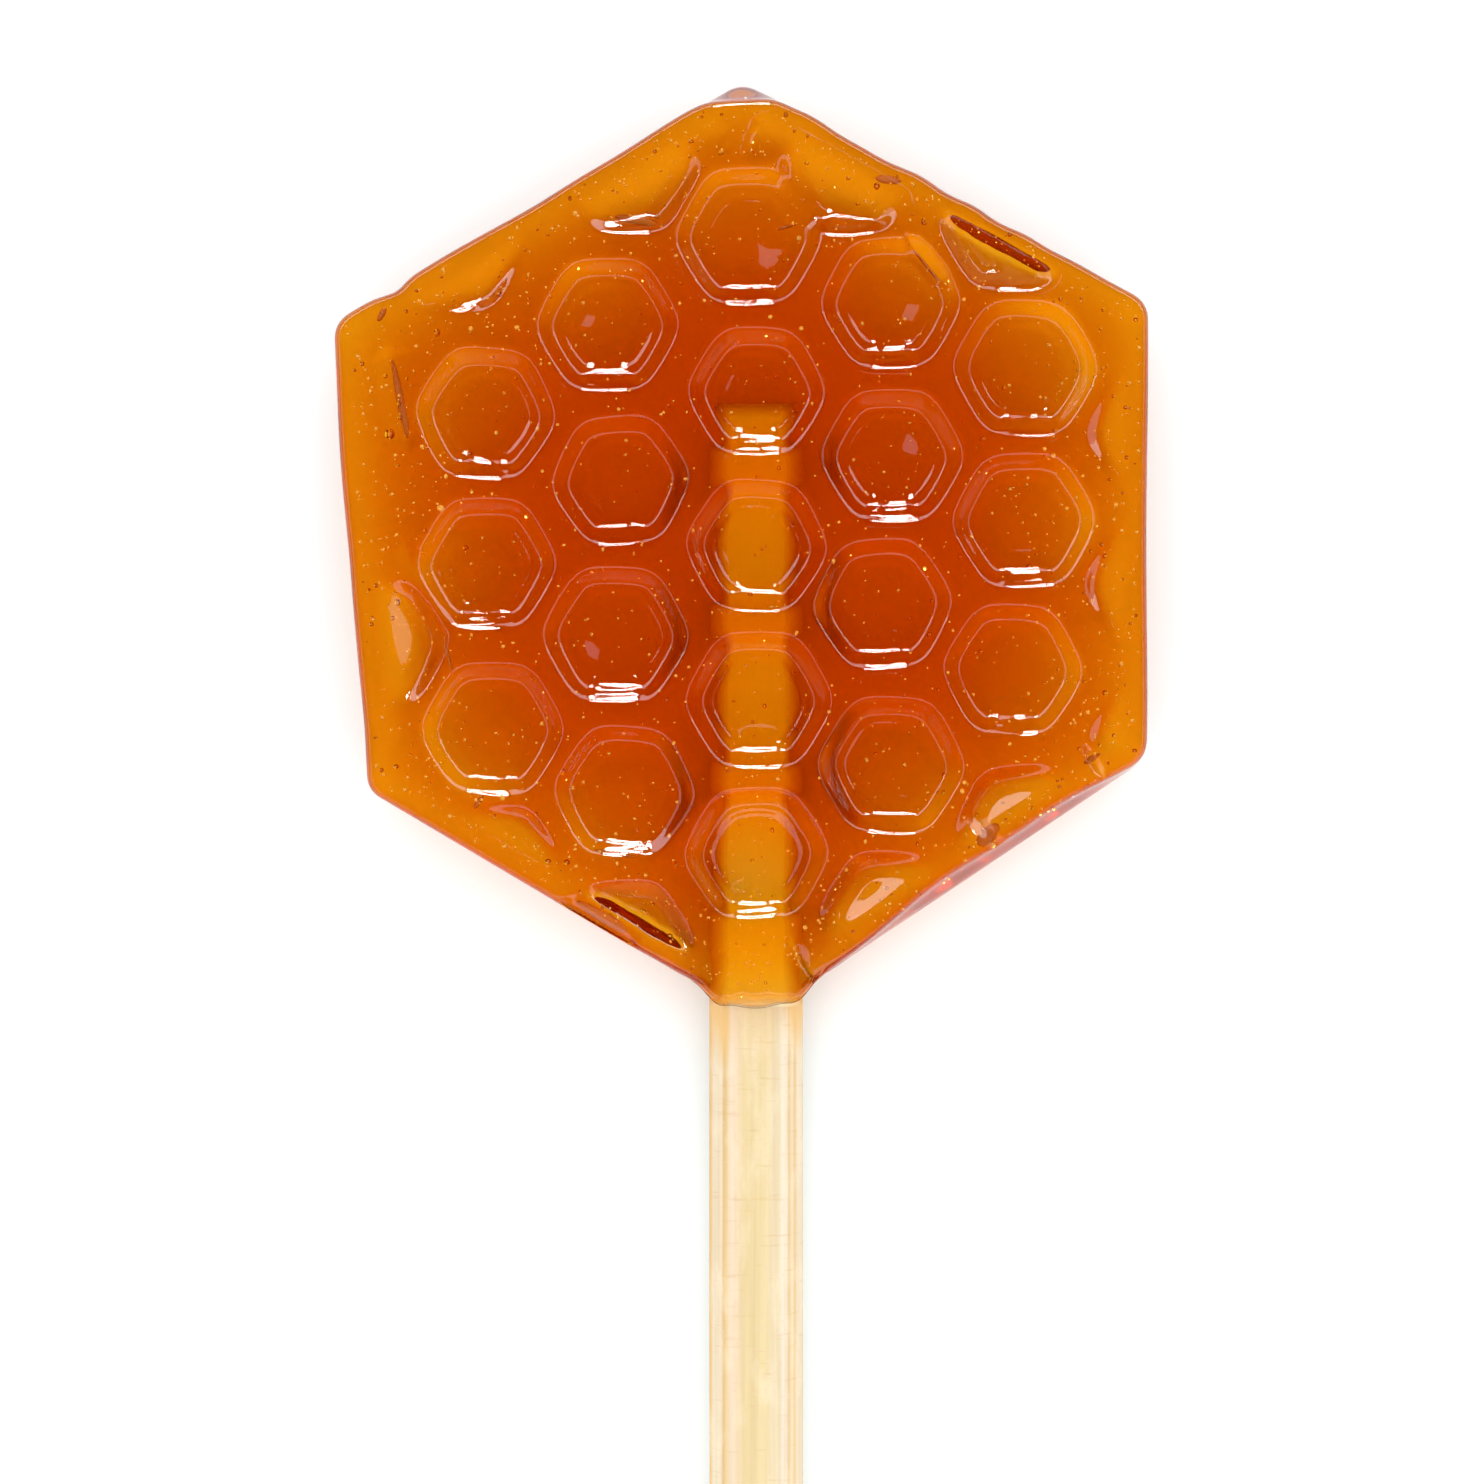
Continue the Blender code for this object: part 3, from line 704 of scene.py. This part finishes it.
def caught_in_sugar(name, count, radius, spread, deepest, seed):
    """One mesh of count small round bodies in the head's front, at most deepest under its skin."""
    draws = np.random.default_rng(seed)
    centres = []
    radii = []
    while len(centres) < count:
        x = draws.uniform(candy_low.x, candy_high.x)
        y = draws.uniform(candy_low.y, candy_high.y)
        index, apart = tree_of_front.find((x, y, 0.0))[1:]
        if apart > OFF_HEAD:
            continue
        to_edge = distances_to_edge(np.array(((x, y),)))[0]
        if to_edge < CAUGHT_FROM_EDGE:
            continue
        edge_share = 1 - min(to_edge / EDGE_ZONE, 1.0)
        if draws.uniform() > MIDDLE_SHARE + (1 - MIDDLE_SHARE) * edge_share:
            continue
        size = radius * draws.lognormal(0.0, spread)
        depth = deepest * draws.uniform() ** CROWDING
        z = front[index, 2] - SKIN - size - depth
        over_stick = abs(x - middle.x) < STICK_CLEAR_HALF and y < stick_high.y + STICK_CLEAR
        if over_stick and z < stick_high.z + STICK_CLEAR:
            continue
        centres.append((x, y, z))
        radii.append(size)
    bpy.ops.object.select_all(action='DESELECT')
    bpy.ops.mesh.primitive_ico_sphere_add(subdivisions=1, radius=1.0)
    seed_body = bpy.context.active_object
    shape = points_of(seed_body)
    faces = np.array([tuple(f.vertices) for f in seed_body.data.polygons])
    bpy.data.objects.remove(seed_body, do_unlink=True)
    squash = draws.uniform(0.75, 1.3, (count, 1, 3))
    points = (np.array(centres)[:, None, :]
              + shape[None] * squash * np.array(radii)[:, None, None]).reshape(-1, 3)
    corners = (faces[None] + (np.arange(count) * len(shape))[:, None, None]).reshape(-1, 3)
    mesh = bpy.data.meshes.new(name)
    mesh.from_pydata(points.tolist(), [], corners.tolist())
    obj = bpy.data.objects.new(name, mesh)
    bpy.context.scene.collection.objects.link(obj)
    obj.select_set(True)
    bpy.context.view_layer.objects.active = obj
    bpy.ops.object.shade_smooth()
    return obj


# Air inside sugar: light bends the other way on entering, so each bubble shows a dark rim.
bubbles = caught_in_sugar("bubbles", 500, 0.085 * MM, 0.35, 0.1098 * MM, BUBBLE_SEED)
air, tree = new_material("air_in_sugar")
bubble_wall = add_node(tree, 'ShaderNodeBsdfGlass', {}, {
    "Color": (*linear("#FFFFFF"), 1), "Roughness": 0.0, "IOR": 1 / 1.5})
add_node(tree, 'ShaderNodeOutputMaterial', {}, {"Surface": bubble_wall.outputs[0]})
bubbles.data.materials.append(air)
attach(bubbles, "root")

# Dark brown slivers under the surface along the border's dents: painted shade, standing in for the dark
# slits where steep walls bend the view into deep sugar. X, Y, length and width in millimetres and turn
# from X towards Y.
SLIVERS = (
    (-18.93, 7.57, 4.40, 0.52, -79.0), (-19.90, 12.15, 0.85, 0.34, 62.0),
    (-16.27, -6.33, 2.10, 0.15, -78.0), (9.83, 15.08, 2.50, 0.27, -51.0),
    (-6.05, 17.25, 2.50, 0.62, -14.0), (-5.10, 17.60, 1.10, 0.30, -30.0),
    (13.16, -16.21, 1.60, 0.75, 42.0), (7.70, 19.50, 1.40, 0.42, -10.0),
    (-14.63, -14.40, 0.80, 0.24, 50.0), (18.80, -12.03, 1.10, 0.38, 30.0),
    (-7.30, -17.30, 2.20, 0.30, -8.0), (-7.90, -20.60, 3.20, 0.62, -32.0),
    (2.20, 17.10, 1.20, 0.22, 15.0),
)
SLIVER_DEPTH = 0.30 * MM         # how far under the surface, and how tall, a sliver is
SLIVER_HEIGHT = 0.32 * MM
SLIVER_FRAY = 0.05 * MM          # how ragged its outline is
SLIVER_FRAY_LENGTH = 0.5 * MM
sliver_parts = []
for x, y, length, width, turned in SLIVERS:
    nearest = tree_of_front.find((x * MM, y * MM, 0.0))[1]
    bpy.ops.object.select_all(action='DESELECT')
    bpy.ops.mesh.primitive_ico_sphere_add(
        subdivisions=3, radius=1.0, rotation=(0, 0, radians(turned)),
        location=(x * MM, y * MM, front[nearest, 2] - SLIVER_DEPTH - SLIVER_HEIGHT / 2),
        scale=(length * MM / 2, width * MM / 2, SLIVER_HEIGHT / 2))
    bpy.ops.object.transform_apply(location=True, rotation=True, scale=True)
    sliver_parts.append(bpy.context.active_object)
for part in sliver_parts:
    part.select_set(True)
bpy.ops.object.join()
slivers = bpy.context.active_object
slivers.name = "painted_shade_slivers"
co = points_of(slivers)
frays = [uneven(co, SLIVER_FRAY_LENGTH, seed) for seed in (8, 9)]
co[:, :2] += SLIVER_FRAY * np.column_stack(frays)
set_points(slivers, co)
bpy.ops.object.shade_smooth()
# painted shade: a dark red-brown that stands in for the slits' darkness, not a colour of the sugar
slit_shade, tree = new_material("painted_slit_shade")
slit_dark = add_node(tree, 'ShaderNodeBsdfPrincipled', {}, {
    "Base Color": (*linear("#B4602E"), 1), "Roughness": 0.45})
add_node(tree, 'ShaderNodeOutputMaterial', {}, {"Surface": slit_dark.outputs[0]})
slivers.data.materials.append(slit_shade)
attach(slivers, "root")

# Opaque golden grains near the surface: painted glints, their bright gold standing in for the light that
# tiny bubbles catch.
specks = caught_in_sugar("honey_specks", 2200, 0.055 * MM, 0.4, 0.03216 * MM, BUBBLE_SEED + 1)
glint_gold, tree = new_material("painted_glint_gold")
grain_body = add_node(tree, 'ShaderNodeBsdfPrincipled', {}, {
    "Base Color": (*linear("#FFC45C"), 1), "Roughness": 0.5})
add_node(tree, 'ShaderNodeOutputMaterial', {}, {"Surface": grain_body.outputs[0]})
specks.data.materials.append(glint_gold)
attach(specks, "root")

# ------------------------------------------------------------------------------ table and light
# A white table before a bright window of four panes at the far side, with pale walls round it, a
# faint lamp overhead and a soft fill from the stick's side that shades the candy's haze. The
# table is painted matt in a slightly cool white.
bpy.ops.object.select_all(action='DESELECT')
bpy.ops.mesh.primitive_plane_add(size=4.0, location=(0, 0, -0.05 * MM))
table = bpy.context.active_object
table.name = "table"
white, tree = new_material("paint_matt_white")
paint = add_node(tree, 'ShaderNodeBsdfPrincipled', {}, {
    "Base Color": (*linear("#EFF6F9"), 1), "Roughness": 0.9, "Specular IOR Level": 0.1})
add_node(tree, 'ShaderNodeOutputMaterial', {}, {"Surface": paint.outputs[0]})
table.data.materials.append(white)

SOFTBOX_DISTANCE = 0.6
PANE_AZIMUTH = 4.4               # each pane's middle to either side of the far side
PANE_WIDTH = 7.6
PANE_RADIANCE = 32.0


def softbox(name, azimuth, elevation, width, height, radiance):
    """A rectangular light on the sphere round the head; width and height in degrees of view."""
    a, e = radians(azimuth), radians(elevation)
    away = Vector((sin(a) * cos(e), cos(a) * cos(e), sin(e)))
    data = bpy.data.lights.new(name, 'AREA')
    data.shape = 'RECTANGLE'
    data.size = 2 * SOFTBOX_DISTANCE * tan(radians(width / 2))
    data.size_y = 2 * SOFTBOX_DISTANCE * tan(radians(height / 2))
    data.energy = radiance * pi * data.size * data.size_y
    lamp = bpy.data.objects.new(name, data)
    lamp.location = away * SOFTBOX_DISTANCE
    lamp.rotation_mode = 'QUATERNION'
    lamp.rotation_quaternion = away.to_track_quat('Z', 'Y')
    bpy.context.scene.collection.objects.link(lamp)
    return lamp


def only_in_reflections(lamp):
    """The light shows in gloss but doesn't light the table."""
    lamp.visible_diffuse = False
    lamp.visible_transmission = False


def only_on_candy(lamp):
    """The light shades the haze in the sugar's surface and the golden specks' painted glints, and
    nothing else.
    """
    lamp.visible_glossy = False
    lamp.visible_transmission = False
    candy_group = bpy.data.collections.new("lit_by_" + lamp.name)
    candy_group.objects.link(head)
    candy_group.objects.link(specks)
    lamp.light_linking.receiver_collection = candy_group


# each light's place round the head and above the table in degrees, its size, and its brightness
for pane, azimuth in (("left", -PANE_AZIMUTH), ("right", PANE_AZIMUTH)):
    only_in_reflections(softbox("window_low_" + pane, azimuth, 22, PANE_WIDTH, 7, PANE_RADIANCE))
    only_in_reflections(softbox("window_high_" + pane, azimuth, 33, PANE_WIDTH, 8, PANE_RADIANCE))
only_on_candy(softbox("fill", 180, 22, 20, 20, 80.0))
for turned in (-1, 1):
    only_in_reflections(softbox("wall_near", turned * 38, 23, 50, 18, 4.6))
    only_in_reflections(softbox("wall_far", turned * 96, 24, 62, 18, 1.7))
only_in_reflections(softbox("card", 180, 24, 96, 20, 1.7))
only_in_reflections(softbox("ceiling_lamp", 15, 74, 3, 3, 1.5))

world = bpy.data.worlds.new("white_room")
bpy.context.scene.world = world
world.use_nodes = True
tree = world.node_tree
tree.nodes.clear()
glow = add_node(tree, 'ShaderNodeBackground', {}, {"Color": (*linear("#FFFFFF"), 1), "Strength": 1.50})
add_node(tree, 'ShaderNodeOutputWorld', {}, {"Surface": glow.outputs[0]})
world.cycles_visibility.glossy = False

# ------------------------------------------------------------------------------ camera
# A long lens straight down on the lollipop, the head above the middle of the frame and the stick
# running out of it at the bottom. The pixel's size in millimetres gives the camera's height.
PHOTO_WIDTH = 1483
MM_PER_PIXEL = 0.0565
LENS = 85.0
SENSOR = 36.0
AIM = (-0.31 * MM, -11.13 * MM)          # the frame's middle on the table
distance = PHOTO_WIDTH * MM_PER_PIXEL * MM * LENS / SENSOR
camera = bpy.data.objects.new("camera", bpy.data.cameras.new("camera"))
camera.data.lens = LENS
camera.data.sensor_width = SENSOR
camera.data.clip_start = 0.01
camera.location = (*AIM, distance)
bpy.context.scene.collection.objects.link(camera)
bpy.context.scene.camera = camera
bpy.context.scene.view_settings.view_transform = 'Standard'
bpy.context.scene.cycles.max_bounces = 16
bpy.context.scene.cycles.transmission_bounces = 16
bpy.context.scene.cycles.glossy_bounces = 8
bpy.context.scene.cycles.sample_clamp_indirect = 6.0
